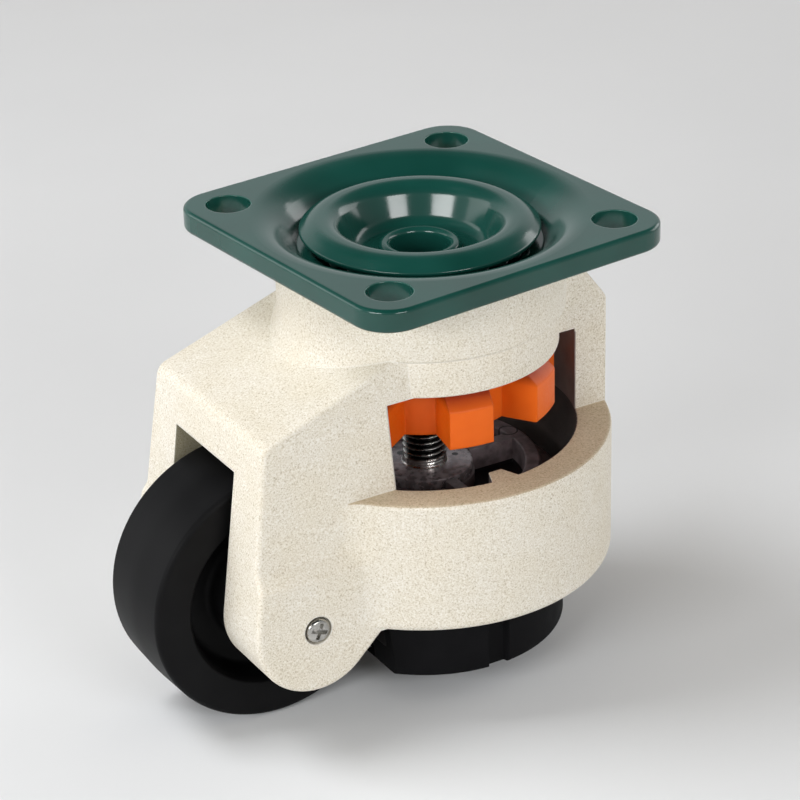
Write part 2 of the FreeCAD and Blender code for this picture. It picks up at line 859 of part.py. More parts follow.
def bearing_sleeve():
    """Tube between the two inner races."""
    shoulder = wheel_bearing_shoulder()
    return axle_tube(axle_radius + shaft_gap, axle_radius + sleeve_wall, -shoulder, shoulder)


def wheel_spacer(side):
    """Spacer between an inner race and the arm's inner face."""
    low, high = bearing_span(side)
    if side > 0:
        return axle_tube(axle_radius + shaft_gap, spacer_radius, high, slot_half_width)
    return axle_tube(axle_radius + shaft_gap, spacer_radius, -slot_half_width, low)


def screw_seat():
    """Distance of the screw heads' seats from the middle of the wheel."""
    return lobe_half_width(axle_depth) - screw_seat_sink


def axle_end():
    """Half length of the axle, which stops short of the screws' seats."""
    return screw_seat() - axle_end_recess


def wheel_axle():
    """Round axle through both arms, bored at its ends for the screws."""
    end = axle_end()
    shaft = axle_tube(0.0, axle_radius, -end, end)
    drill = screw_shank_length + 1.5
    for side in (-1, 1):
        faces = sorted((side * (screw_seat() - drill), side * (end + 1)))
        shaft = shaft.cut(axle_tube(0.0, screw_shank_radius + shaft_gap, faces[0], faces[1]))
    return shaft


def axle_screw(side):
    """Cross-head screw in the end of the axle, with a domed head."""
    seat = screw_seat()
    top = seat + screw_head_height
    corners = [
        (0.0, seat - screw_shank_length, 0.0),
        (screw_shank_radius, seat - screw_shank_length, 0.4),
        (screw_shank_radius, seat, 0.0),
        (screw_head_radius, seat, 0.3),
        (screw_head_radius, top - 0.4, 1.6),
        (0.0, top, 0.0),
    ]
    if side < 0:
        corners = [(radius, -y, rounding) for radius, y, rounding in reversed(corners)]
    screw = turned_about_axle(corners)
    for turn in (20, 110):
        bar = Part.makeBox(cross_length, cross_depth, cross_width,
                           FreeCAD.Vector(-cross_length / 2, 0, -cross_width / 2))
        bar.rotate(ORIGIN, ALONG_Y, turn)
        low = top - cross_depth if side > 0 else -top
        bar.translate(FreeCAD.Vector(-axle_back, low, -axle_depth))
        screw = screw.cut(bar)
    return screw


def thrust_washer():
    """Bronze washer that takes the load of the nut."""
    inner = stud_bore_radius
    return tube(inner, thrust_radius, thrust_depth, thrust_depth + thrust_thickness)


def nut_keeper():
    """Ring plate that keeps the nut's flange up in the fork."""
    plate = tube(keeper_hole_radius, keeper_radius, keeper_depth, keeper_bottom)
    for x, y in keeper_places():
        place = FreeCAD.Vector(x, y, -keeper_bottom - 1)
        plate = plate.cut(Part.makeCylinder(keeper_screw_radius + shaft_gap, keeper_thickness + 2, place))
    return plate


def keeper_screws():
    """Screws that hold the keeper under the fork."""
    screws = []
    for x, y in keeper_places():
        shank = Part.makeCylinder(keeper_screw_radius, keeper_screw_length + keeper_thickness,
                                  FreeCAD.Vector(x, y, -keeper_bottom))
        head = Part.makeCylinder(keeper_head_radius, keeper_head_height,
                                 FreeCAD.Vector(x, y, -keeper_bottom - keeper_head_height))
        top_rim = [e for e in head.Edges if e.CenterOfMass.z < -keeper_bottom - keeper_head_height + 0.01]
        screws.append(shank.fuse(head.makeFillet(0.4, top_rim)).removeSplitter())
    return Part.makeCompound(screws)


def adjusting_nut():
    """Steel nut: flange, hexagon for the thumb wheel and a spigot for the clip."""
    flange = tube(0.0, nut_flange_radius, nut_flange_depth, nut_flange_bottom)
    bar = hexagon(nut_across_flats, nut_flange_bottom, clip_depth - 0.2)
    end = clip_depth + nut_spigot_length - clip_groove
    spigot = tube(0.0, nut_spigot_radius, clip_depth - 0.3, end)
    nut = flange.fuse([bar, spigot])
    clip_bottom = clip_depth + clip_thickness
    groove = tube(nut_spigot_radius - clip_groove, nut_spigot_radius + 1, clip_depth, clip_bottom)
    bore = tube(0.0, thread_radius + thread_gap, nut_flange_depth - 1, end + 1)
    return nut.cut([groove, bore]).removeSplitter()


def wheel_clip():
    """Open spring clip in the spigot's groove, below the thumb wheel."""
    inner = nut_spigot_radius - clip_groove + thread_gap
    gap = clip_thickness * 0.03
    ring_shape = tube(inner, clip_radius, clip_depth + gap, clip_depth + clip_thickness - gap)
    reach = 2 * clip_radius
    half = math.radians(clip_gap_deg / 2)
    deep = clip_depth + clip_thickness + 1
    corners = [FreeCAD.Vector(0, 0, -deep)]
    for angle in (-half, half):
        corners.append(FreeCAD.Vector(reach * math.cos(angle), reach * math.sin(angle), -deep))
    wedge = Part.Face(Part.makePolygon(corners + [corners[0]])).extrude(UP * (clip_thickness + 2))
    return ring_shape.cut(wedge)


def adjusting_wheel():
    """Thumb wheel with parallel-sided lugs, a chamfered top edge and a cored underside."""
    face_top = thumb_bottom_depth - thumb_face_height
    body = turned([
        (0.0, thumb_top_depth, 0.0),
        (thumb_wheel_radius - thumb_chamfer, thumb_top_depth, 1.0),
        (thumb_wheel_radius, face_top, 0.8),
        (thumb_wheel_radius, thumb_bottom_depth, 0.6),
        (0.0, thumb_bottom_depth, 0.0),
    ])
    tall = thumb_bottom_depth - thumb_top_depth + 2
    bars = [tube(0.0, thumb_root_radius, thumb_top_depth - 1, thumb_bottom_depth + 1)]
    for index in range(thumb_lug_count):
        bar = Part.makeBox(thumb_wheel_radius + 1, 2 * thumb_lug_half, tall,
                           FreeCAD.Vector(0, -thumb_lug_half, -thumb_bottom_depth - 1))
        bar.rotate(ORIGIN, UP, thumb_lug_turn_deg + 360 * index / thumb_lug_count)
        bars.append(bar)
    lugs = bars[0].fuse(bars[1:]).removeSplitter()
    body = body.common(lugs)
    core_top = thumb_bottom_depth - thumb_core_depth
    core = tube(thumb_core_inner, thumb_core_outer, core_top, thumb_bottom_depth + 1)
    hole = hexagon(nut_across_flats + 2 * thumb_fit, thumb_top_depth - 1, thumb_bottom_depth + 1)
    return body.cut([core, hole]).removeSplitter()


def levelling_screw():
    """Screw with a flange that sits on the foot's cup. Its thread is left plain."""
    end = cup_web_bottom + foot_washer_thickness + foot_nut_height
    return turned([
        (0.0, thread_top_depth, 0.0),
        (thread_radius, thread_top_depth, 1.0),
        (thread_radius, flange_top_depth, 0.0),
        (foot_flange_radius, flange_top_depth, 0.5),
        (foot_flange_radius, flange_bottom_depth, 0.0),
        (thread_radius, flange_bottom_depth, 0.0),
        (thread_radius, end, 0.5),
        (0.0, end, 0.0),
    ])


def wheel_room():
    """Room for the wheel: what is taken off the foot on the wheel's side."""
    reach = wheel_half + foot_wheel_gap
    radius = wheel_radius + foot_wheel_gap
    rest_room = axle_tube(0.0, radius, -reach, reach)
    low_room = rest_room.translated(UP * foot_travel)
    between = Part.makeBox(2 * radius, 2 * reach, foot_travel,
                           FreeCAD.Vector(-axle_back - radius, -reach, -axle_depth))
    far = 4 * foot_radius
    top = foot_disc_depth - 2
    beyond = side_prism(plain([
        (-foot_flat, foot_bottom_depth),
        (-foot_flat - (foot_bottom_depth - top) * foot_flat_lean, top),
        (-far, top),
        (-far, foot_bottom_depth + 2),
        (-foot_flat, foot_bottom_depth + 2),
    ]), 2 * foot_radius)
    return [rest_room.fuse([low_room, between]), beyond]


def foot_cup():
    """Moulded cup of the foot: top disc, keyed drum and a pocket for the nut."""
    shoulder = foot_disc_depth + foot_disc_height
    neck = foot_radius - shoe_wall - shoe_fit
    body = turned([
        (thread_radius + shaft_gap, flange_bottom_depth, 0.0),
        (foot_flange_radius + 0.5, flange_bottom_depth, 0.0),
        (foot_flange_radius + 0.5, foot_disc_depth + foot_recess_depth, 0.8),
        (foot_recess_outer, foot_disc_depth + foot_recess_depth, 0.8),
        (foot_recess_outer, foot_disc_depth, 0.5),
        (foot_disc_radius, foot_disc_depth, 0.6),
        (foot_disc_radius, shoulder, 0.6),
        (foot_radius, shoulder, foot_shoulder_edge),
        (foot_radius, shoe_top_depth - shoe_fit, 0.0),
        (neck, shoe_top_depth - shoe_fit, 0.0),
        (neck, cup_bottom, 0.8),
        (foot_pocket_radius, cup_bottom, 0.0),
        (foot_pocket_radius, cup_web_bottom, 0.8),
        (thread_radius + shaft_gap, cup_web_bottom, 0.0),
    ])
    floor = foot_disc_depth + foot_recess_depth
    reach = foot_recess_outer + 1
    band = tube(foot_flange_radius + 0.4, reach, foot_disc_depth, floor)
    wall_start = foot_flat - foot_recess_wall
    wall_corner = FreeCAD.Vector(-wall_start - reach, -reach, -2 * floor)
    ribs = [Part.makeBox(reach, 2 * reach, 2 * floor, wall_corner)]
    for index in range(foot_rib_count):
        rib = Part.makeBox(reach, 2 * foot_rib_half, 2 * floor, FreeCAD.Vector(0, -foot_rib_half, -2 * floor))
        rib.rotate(ORIGIN, UP, 360 * index / foot_rib_count)
        ribs.append(rib)
    ribs = [rib.common(band) for rib in ribs]
    return body.fuse(ribs).cut(keys(foot_key_gap) + wheel_room()).removeSplitter()


def foot_pad():
    """Rubber shoe over the cup's lower half, with round grooves in its sole."""
    inner = foot_radius - shoe_wall
    inside_floor = foot_bottom_depth - shoe_floor
    shoe = turned([
        (0.0, inside_floor, 0.0),
        (inner, inside_floor, 0.8),
        (inner, shoe_top_depth, 0.0),
        (foot_radius, shoe_top_depth, 0.5),
        (foot_radius, foot_bottom_depth, 1.2),
        (0.0, foot_bottom_depth, 0.0),
    ])
    sole = foot_bottom_depth - shoe_tread_groove
    grooves = []
    for share in (0.36, 0.68):
        circle = foot_radius * share
        grooves.append(tube(circle, circle + shoe_tread_width, sole, foot_bottom_depth + 1))
    return shoe.cut(grooves + keys(foot_key_gap) + wheel_room()).removeSplitter()


def foot_washer():
    """Washer between the cup and the nut in its pocket."""
    washer_bottom = cup_web_bottom + foot_washer_thickness
    return tube(thread_radius + shaft_gap, foot_washer_radius, cup_web_bottom, washer_bottom)


def foot_nut():
    """Nut that holds the screw in the foot."""
    top = cup_web_bottom + foot_washer_thickness
    bar = hexagon(foot_nut_across_flats, top, top + foot_nut_height)
    return bar.cut(tube(0.0, thread_radius + shaft_gap, top - 1, top + foot_nut_height + 1))


def write(name, shape):
    """Check one node and write its STEP file."""
    if not shape.isValid():
        print(name, "is not valid")
    print("%-24s solids %2d volume %9.1f" % (name, len(shape.Solids), shape.Volume))
    if len(shape.Solids) == 1:
        shape = shape.Solids[0]
    shape.exportStep("parts/%s.step" % name)


def main():
    """Build every node and write it."""
    os.makedirs("parts", exist_ok=True)
    single = [
        top_plate, race_dish, king_stud, upper_swivel_balls, lower_swivel_balls, lower_race_ring, housing,
        thrust_washer, nut_keeper, keeper_screws, adjusting_nut, wheel_clip, adjusting_wheel, levelling_screw,
        foot_cup, foot_pad, foot_washer, foot_nut, wheel, bearing_sleeve, wheel_axle,
    ]
    for make in single:
        write(make.__name__, make())
    paired = [
        bearing_inner_race, bearing_outer_race, bearing_balls, bearing_shield, wheel_spacer, axle_screw,
    ]
    for make in paired:
        for side, word in ((-1, "near"), (1, "far")):
            write("%s_%s" % (make.__name__, word), make(side))


main()
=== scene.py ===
"""Looks of the levelling castor: threaded screw, node materials, soft studio light and camera."""

import json
import math

import bpy
import numpy as np
from mathutils import Matrix, Vector


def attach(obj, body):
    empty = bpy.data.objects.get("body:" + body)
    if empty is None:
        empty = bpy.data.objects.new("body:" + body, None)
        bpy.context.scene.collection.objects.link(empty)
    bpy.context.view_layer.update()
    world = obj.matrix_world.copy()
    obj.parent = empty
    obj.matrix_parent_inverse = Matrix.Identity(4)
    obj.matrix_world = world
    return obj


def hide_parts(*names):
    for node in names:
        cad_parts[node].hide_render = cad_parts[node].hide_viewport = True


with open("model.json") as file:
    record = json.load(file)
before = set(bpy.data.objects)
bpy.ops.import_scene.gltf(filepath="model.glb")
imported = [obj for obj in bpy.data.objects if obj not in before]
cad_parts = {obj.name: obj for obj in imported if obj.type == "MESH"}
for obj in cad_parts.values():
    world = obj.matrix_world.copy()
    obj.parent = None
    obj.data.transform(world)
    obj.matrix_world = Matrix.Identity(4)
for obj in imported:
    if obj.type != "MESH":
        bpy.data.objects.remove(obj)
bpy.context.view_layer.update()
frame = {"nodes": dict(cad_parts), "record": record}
MM = 0.001

# Camera, fitted to the photo: degrees and metres, then the photo's side, the focal length and
# the place of the part's origin in the photo's pixels.
CAMERA_AZIMUTH = -29.89
CAMERA_ELEVATION = 26.288
CAMERA_ROLL = -1.43
CAMERA_DISTANCE = 0.79868
PHOTO_SIDE = 800.0
FOCAL_PIXELS = 3063.0
ORIGIN_PIXEL = (419.483, 211.398)

# Sizes of the screw that is made here, in mm, the same as the part's own.
SCREW_RADIUS = 6.0
SCREW_PITCH = 1.75
SCREW_TOP = -14.5
SCREW_END = -110.6
SCREW_FLANGE_RADIUS = 13.0
SCREW_FLANGE_TOP = -72.6
SCREW_FLANGE_BOTTOM = -75.6
# Shares of the pitch: depth of the thread, half its flat crest, and one flank along the axis.
THREAD_DEPTH = 0.6134
THREAD_HALF_CREST = 0.0625
THREAD_FLANK = 0.3125

# Heights at which a moulded piece changes its tone, in mm: the lower side of the cup's top disc
# and the top edge of the faces of the thumb wheel's lugs.
CUP_DISC_BOTTOM = -79.4
THUMB_FACE_TOP = -41.5

# Where the casting is painted dark as shade, in mm: near the axis and below the top, on the pillar
# past its x, and in the ring's bore. The band of this half height at the ring's top keeps the
# coat's colour.
SHADE_INSIDE_RADIUS = 41.3
SHADE_INSIDE_TOP = -37.5
SHADE_PILLAR_X = 8.0
SHADE_BORE_TOP = -60.7
RING_TOP = -60.5
RING_TOP_HALF_BAND = 0.3
# A face of the ring's ledge looks up: the z of its normal is over this.
LEDGE_FACING = 0.7
# The wheel's slot lies where x is under this, in mm. Its walls face the middle, so on them y in
# metres times the y of the normal is under the second value.
SLOT_END_X = -33.0
SLOT_FACING = -0.01

# Marks of the making, as x, y and radius in mm: the ring that an ejector pin left on the cup's
# disc, with half the width of its line, and two pits in the screw's flange.
EJECTOR_RING = (28.4, 2.7, 2.6)
EJECTOR_HALF_LINE = 0.22
FLANGE_PITS = ((-3.5, 6.4, 1.3), (8.4, -2.0, 0.9))

# Dot product of the softened and the true normal where an edge begins to show, and shows fully.
EDGE_STARTS = 0.995
EDGE_FULL = 0.95
# A noise lies mostly between these values, so what follows it changes from one to the other.
NOISE_LOW = 0.3
NOISE_HIGH = 0.7
# The same for tones in clearer patches.
PATCH_LOW = 0.35
PATCH_HIGH = 0.65

# The studio, in metres: the floor is 0.1 mm under the wheel, and the lamps face the castor's
# middle.
FLOOR_Z = -0.12805
FLOOR_HALF_SIDE = 6.0
CASTOR_MIDDLE = (0.0, 0.0, -0.06)


# Helpers

def linear(hex_colour):
    """sRGB hex to linear: a channel c up to 0.04045 gives c / 12.92, and one above it gives
    ((c + 0.055) / 1.055) to the power 2.4."""
    c = np.array([int(hex_colour[k:k + 2], 16) for k in (1, 3, 5)]) / 255.0
    c = np.where(c <= 0.04045, c / 12.92, ((c + 0.055) / 1.055) ** 2.4)
    return (*c.tolist(), 1.0)


def per_mm(size):
    """Noise scale at which one feature measures size mm: Object coordinates are in metres."""
    return 1000.0 / size


def add_node(tree, kind, inputs=None, stops=None, **settings):
    """Adds one node: its settings, its colour stops (position, hex), then each input as a value
    or as the socket that feeds it."""
    node = tree.nodes.new(kind)
    for name, value in settings.items():
        setattr(node, name, value)
    if stops:
        elements = node.color_ramp.elements
        while len(elements) < len(stops):
            elements.new(0.5)
        for element, (place, colour) in zip(elements, stops):
            element.position = place
            element.color = linear(colour)
    for name, value in (inputs or {}).items():
        if isinstance(value, bpy.types.NodeSocket):
            tree.links.new(value, node.inputs[name])
        else:
            node.inputs[name].default_value = value
    return node


def from_line(tree, place, x, y):
    """Distance from the upright line through x, y in mm: the length of (place - line) times
    (1, 1, 0)."""
    offset = add_node(tree, "ShaderNodeVectorMath", {
        0: place, 1: (x * MM, y * MM, 0.0),
    }, operation="SUBTRACT").outputs["Vector"]
    flat = add_node(tree, "ShaderNodeVectorMath", {
        0: offset, 1: (1.0, 1.0, 0.0),
    }, operation="MULTIPLY").outputs["Vector"]
    return add_node(tree, "ShaderNodeVectorMath", {0: flat}, operation="LENGTH").outputs["Value"]


def edge_highlight_share(tree, softened, most):
    """0 on a flat and most along an edge: how far the softened normal leans from the true one, by
    their dot product."""
    normal = add_node(tree, "ShaderNodeNewGeometry").outputs["Normal"]
    lean = add_node(tree, "ShaderNodeVectorMath", {
        0: softened, 1: normal,
    }, operation="DOT_PRODUCT").outputs["Value"]
    return add_node(tree, "ShaderNodeMapRange", {
        "Value": lean, "From Min": EDGE_STARTS, "From Max": EDGE_FULL, "To Max": most,
    }).outputs["Result"]


def new_material(name, surface):
    """Node material. The function surface adds its nodes to the tree and returns the inputs of
    the principled shader."""
    made = bpy.data.materials.new(name)
    made.use_nodes = True
    tree = made.node_tree
    tree.nodes.clear()
    shader = add_node(tree, "ShaderNodeBsdfPrincipled", surface(tree))
    add_node(tree, "ShaderNodeOutputMaterial", {"Surface": shader.outputs["BSDF"]})
    return made


# Surfaces as grids of points

def grid_mesh(name, points):
    """Mesh over rows of points in mm, each row a closed loop. A quad joins a point, the one in
    the next row and their neighbours, and a fan from the mean of each end row caps it. Rows run
    from top to bottom and loops run anticlockwise, so the faces point outwards."""
    rows, cols, _ = points.shape
    i, j = np.meshgrid(np.arange(rows - 1), np.arange(cols), indexing="ij")
    k = (j + 1) % cols
    quads = np.stack([
        i * cols + j, (i + 1) * cols + j, (i + 1) * cols + k, i * cols + k,
    ], axis=-1).reshape(-1, 4)
    places = np.vstack([points.reshape(-1, 3), points[0].mean(axis=0), points[-1].mean(axis=0)])
    around = np.arange(cols)
    ahead = (around + 1) % cols
    first_centre = np.full(cols, rows * cols)
    last_centre = first_centre + 1
    last = (rows - 1) * cols
    faces = quads.tolist()
    faces += np.stack([first_centre, around, ahead], axis=-1).tolist()
    faces += np.stack([last_centre, last + ahead, last + around], axis=-1).tolist()
    mesh = bpy.data.meshes.new(name)
    mesh.from_pydata((places * MM).tolist(), [], faces)
    mesh.validate()
    return mesh


def add_piece(name, mesh, material, body, replaced, smooth_angle=35.0):
    """Object at the origin for a mesh in place: smooth but for edges past smooth_angle degrees,
    riding on its body."""
    piece = bpy.data.objects.new(name, mesh)
    bpy.context.scene.collection.objects.link(piece)
    mesh.polygons.foreach_set("use_smooth", np.ones(len(mesh.polygons), dtype=bool))
    mesh.set_sharp_from_angle(angle=math.radians(smooth_angle))
    mesh.materials.append(material)
    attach(piece, body)
    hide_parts(*replaced)


# Materials. Each function adds the nodes of one finish and returns the inputs of its shader.

def slot_wall_shade_share(tree, spot, facing):
    """1 on the walls of the wheel's slot and 0 elsewhere: x is low, and y times the y of the
    normal is low."""
    inward = add_node(tree, "ShaderNodeMath", {
        0: spot["Y"], 1: facing["Y"],
    }, operation="MULTIPLY").outputs["Value"]
    faces_in = add_node(tree, "ShaderNodeMath", {
        0: inward, 1: SLOT_FACING,
    }, operation="LESS_THAN").outputs["Value"]
    beside_wheel = add_node(tree, "ShaderNodeMath", {
        0: spot["X"], 1: SLOT_END_X * MM,
    }, operation="LESS_THAN").outputs["Value"]
    return add_node(tree, "ShaderNodeMath", {
        0: faces_in, 1: beside_wheel,
    }, operation="MULTIPLY").outputs["Value"]


def inside_shade_share(tree, place, spot, in_bore, at_ring_top):
    """1 where the casting is painted dark as shade and 0 elsewhere: near the axis and below the
    top, and there either on the pillar or in the bore under the ring's top."""
    near_axis = add_node(tree, "ShaderNodeMath", {
        0: from_line(tree, place, 0.0, 0.0), 1: SHADE_INSIDE_RADIUS * MM,
    }, operation="LESS_THAN").outputs["Value"]
    below = add_node(tree, "ShaderNodeMath", {
        0: spot["Z"], 1: SHADE_INSIDE_TOP * MM,
    }, operation="LESS_THAN").outputs["Value"]
    on_pillar = add_node(tree, "ShaderNodeMath", {
        0: spot["X"], 1: SHADE_PILLAR_X * MM,
    }, operation="GREATER_THAN").outputs["Value"]
    down_bore = add_node(tree, "ShaderNodeMath", {
        0: in_bore, 1: at_ring_top,
    }, operation="SUBTRACT", use_clamp=True).outputs["Value"]
    either = add_node(tree, "ShaderNodeMath", {
        0: on_pillar, 1: down_bore,
    }, operation="MAXIMUM").outputs["Value"]
    inside = add_node(tree, "ShaderNodeMath", {
        0: near_axis, 1: below,
    }, operation="MULTIPLY").outputs["Value"]
    return add_node(tree, "ShaderNodeMath", {
        0: inside, 1: either,
    }, operation="MULTIPLY").outputs["Value"]


def sand_powder_coat(tree):
    """Ivory polyester powder coat, sprayed and baked on die cast zinc: matt and pale, with a sand
    grain of fine tan specks. Painted shade greys it in the wheel's slot and browns the ring's
    ledge, and painted highlights pale its edges. The bore and the pillar's inner face are painted
    dark as shade, the bore darker."""
    coordinates = add_node(tree, "ShaderNodeTexCoord").outputs
    place = coordinates["Object"]
    spot = add_node(tree, "ShaderNodeSeparateXYZ", {"Vector": place}).outputs
    facing = add_node(tree, "ShaderNodeSeparateXYZ", {"Vector": coordinates["Normal"]}).outputs
    # The grit is about 0.25 mm, one pixel of the photo's size, and is drawn 0.45 mm wide to show.
    grain = add_node(tree, "ShaderNodeTexNoise", {
        "Vector": place, "Scale": per_mm(0.45), "Detail": 2.0, "Roughness": 0.7,
    }).outputs["Fac"]
    specks = add_node(tree, "ShaderNodeValToRGB", {"Fac": grain}, [
        (0.28, "#b0a48c"), (0.40, "#dad3c3"), (0.53, "#e8e3d7"), (0.72, "#f8f6f0"),
    ]).outputs["Color"]
    # The thickness of the powder drifts over about 14 mm, and so does the tone of the painted
    # shade inside.
    cloud = add_node(tree, "ShaderNodeTexNoise", {
        "Vector": place, "Scale": per_mm(14.0), "Detail": 3.0,
    }).outputs["Fac"]
    drift = add_node(tree, "ShaderNodeValToRGB", {"Fac": cloud}, [
        (NOISE_LOW, "#fbf9f4"), (NOISE_HIGH, "#ffffff"),
    ]).outputs["Color"]
    colour = add_node(tree, "ShaderNodeMix", {
        "Factor": 1.0, 6: specks, 7: drift,
    }, data_type="RGBA", blend_type="MULTIPLY").outputs[2]
    # Painted highlight: the coat is paler along the edges.
    edge = add_node(tree, "ShaderNodeBevel", {"Radius": 0.65 * MM}, samples=6).outputs["Normal"]
    colour = add_node(tree, "ShaderNodeMix", {
        "Factor": edge_highlight_share(tree, edge, most=0.7), 6: colour, 7: linear("#fbf9f2"),
    }, data_type="RGBA").outputs[2]
    # Painted shade greys the coat on the deep walls of the wheel's slot.
    colour = add_node(tree, "ShaderNodeMix", {
        "Factor": slot_wall_shade_share(tree, spot, facing), 6: colour, 7: linear("#c4c2b0"),
    }, data_type="RGBA", blend_type="MULTIPLY").outputs[2]
    # Painted shade, as cast by the plate above, browns the ring's ledge, the only face at that
    # height that looks up.
    at_ring_top = add_node(tree, "ShaderNodeMath", {
        0: spot["Z"], 1: RING_TOP * MM, 2: RING_TOP_HALF_BAND * MM,
    }, operation="COMPARE").outputs["Value"]
    looks_up = add_node(tree, "ShaderNodeMath", {
        0: facing["Z"], 1: LEDGE_FACING,
    }, operation="GREATER_THAN").outputs["Value"]
    ledge = add_node(tree, "ShaderNodeMath", {
        0: at_ring_top, 1: looks_up,
    }, operation="MULTIPLY").outputs["Value"]
    colour = add_node(tree, "ShaderNodeMix", {
        "Factor": ledge, 6: colour, 7: linear("#e0d4c3"),
    }, data_type="RGBA", blend_type="MULTIPLY").outputs[2]
    in_bore = add_node(tree, "ShaderNodeMath", {
        0: spot["Z"], 1: SHADE_BORE_TOP * MM,
    }, operation="LESS_THAN").outputs["Value"]
    pillar_shade = add_node(tree, "ShaderNodeValToRGB", {"Fac": cloud}, [
        (NOISE_LOW, "#857a78"), (NOISE_HIGH, "#a89d9a"),
    ]).outputs["Color"]
    bore_shade = add_node(tree, "ShaderNodeValToRGB", {"Fac": cloud}, [
        (NOISE_LOW, "#413b39"), (NOISE_HIGH, "#5d5552"),
    ]).outputs["Color"]
    # Painted shade inside the housing: the pillar's inner face is dark and the bore darker.
    metal = add_node(tree, "ShaderNodeMix", {
        "Factor": in_bore, 6: pillar_shade, 7: bore_shade,
    }, data_type="RGBA").outputs[2]
    colour = add_node(tree, "ShaderNodeMix", {
        "Factor": inside_shade_share(tree, place, spot, in_bore, at_ring_top), 6: colour, 7: metal,
    }, data_type="RGBA").outputs[2]
    rough = add_node(tree, "ShaderNodeMapRange", {
        "Value": grain, "From Min": NOISE_LOW, "From Max": NOISE_HIGH,
        "To Min": 0.75, "To Max": 0.58,
    }).outputs["Result"]
    bump = add_node(tree, "ShaderNodeBump", {
        "Height": grain, "Distance": 0.06 * MM, "Strength": 0.6, "Normal": edge,
    }).outputs["Normal"]
    return {"Base Color": colour, "Roughness": rough, "IOR": 1.5, "Normal": bump}


def green_stove_enamel(tree):
    """Dark green stove enamel, dipped and baked on pressed steel: a deep gloss with a faint
    orange peel, and painted highlights paler along the edges."""
    place = add_node(tree, "ShaderNodeTexCoord").outputs["Object"]
    # The waves of the orange peel are about 3 mm long, and the tone drifts over about 22 mm.
    peel = add_node(tree, "ShaderNodeTexNoise", {
        "Vector": place, "Scale": per_mm(3.0), "Detail": 1.0,
    }).outputs["Fac"]
    cloud = add_node(tree, "ShaderNodeTexNoise", {
        "Vector": place, "Scale": per_mm(22.0), "Detail": 2.0,
    }).outputs["Fac"]
    colour = add_node(tree, "ShaderNodeValToRGB", {"Fac": cloud}, [
        (NOISE_LOW, "#0f3f37"), (NOISE_HIGH, "#164a42"),
    ]).outputs["Color"]
    edge = add_node(tree, "ShaderNodeBevel", {"Radius": 0.5 * MM}, samples=8).outputs["Normal"]
    # Painted highlight: the enamel is paler along the edges.
    colour = add_node(tree, "ShaderNodeMix", {
        "Factor": edge_highlight_share(tree, edge, most=0.35), 6: colour, 7: linear("#4f8379"),
    }, data_type="RGBA").outputs[2]
    rough = add_node(tree, "ShaderNodeMapRange", {
        "Value": cloud, "From Min": NOISE_LOW, "From Max": NOISE_HIGH,
        "To Min": 0.13, "To Max": 0.19,
    }).outputs["Result"]
    bump = add_node(tree, "ShaderNodeBump", {
        "Height": peel, "Distance": 0.02 * MM, "Strength": 0.25, "Normal": edge,
    }).outputs["Normal"]
    return {
        "Base Color": colour, "Roughness": rough, "IOR": 1.5, "Specular IOR Level": 0.52,
        "Normal": bump,
    }


def orange_polyamide(tree):
    """Orange polyamide, injection moulded: satin, with a fine mould grain and a little light let
    into the surface."""
    place = add_node(tree, "ShaderNodeTexCoord").outputs["Object"]
    # The mould's spark-eroded grain is 0.15 mm on the real part, and is drawn 0.6 mm wide to show.
    grain = add_node(tree, "ShaderNodeTexNoise", {
        "Vector": place, "Scale": per_mm(0.6), "Detail": 2.0,
    }).outputs["Fac"]
    # The melt flowed in tones about 9 mm wide.
    flow = add_node(tree, "ShaderNodeTexNoise", {
        "Vector": place, "Scale": per_mm(9.0), "Detail": 2.0,
    }).outputs["Fac"]
    colour = add_node(tree, "ShaderNodeValToRGB", {"Fac": flow}, [
        (NOISE_LOW, "#e5620f"), (NOISE_HIGH, "#ee6c16"),
    ]).outputs["Color"]
    # Painted shade under the boss darkens the lugs above their faces, more with the height z.
    height = add_node(tree, "ShaderNodeSeparateXYZ", {"Vector": place}).outputs["Z"]
    shade_under_boss = add_node(tree, "ShaderNodeMapRange", {
        "Value": height, "From Min": (THUMB_FACE_TOP - 0.5) * MM,
        "From Max": (THUMB_FACE_TOP + 2.8) * MM, "To Max": 0.85,
    }).outputs["Result"]
    colour = add_node(tree, "ShaderNodeMix", {
        "Factor": shade_under_boss, 6: colour, 7: linear("#861f06"),
    }, data_type="RGBA").outputs[2]
    rough = add_node(tree, "ShaderNodeMapRange", {
        "Value": grain, "From Min": NOISE_LOW, "From Max": NOISE_HIGH,
        "To Min": 0.52, "To Max": 0.4,
    }).outputs["Result"]
    edge = add_node(tree, "ShaderNodeBevel", {"Radius": 0.6 * MM}, samples=6).outputs["Normal"]
    bump = add_node(tree, "ShaderNodeBump", {
        "Height": grain, "Distance": 0.03 * MM, "Strength": 0.6, "Normal": edge,
    }).outputs["Normal"]
    return {
        "Base Color": colour, "Roughness": rough, "IOR": 1.53, "Specular IOR Level": 0.25,
        "Subsurface Weight": 0.06, "Subsurface Radius": (1.0, 0.35, 0.1),
        "Subsurface Scale": 0.8 * MM, "Normal": bump,
    }


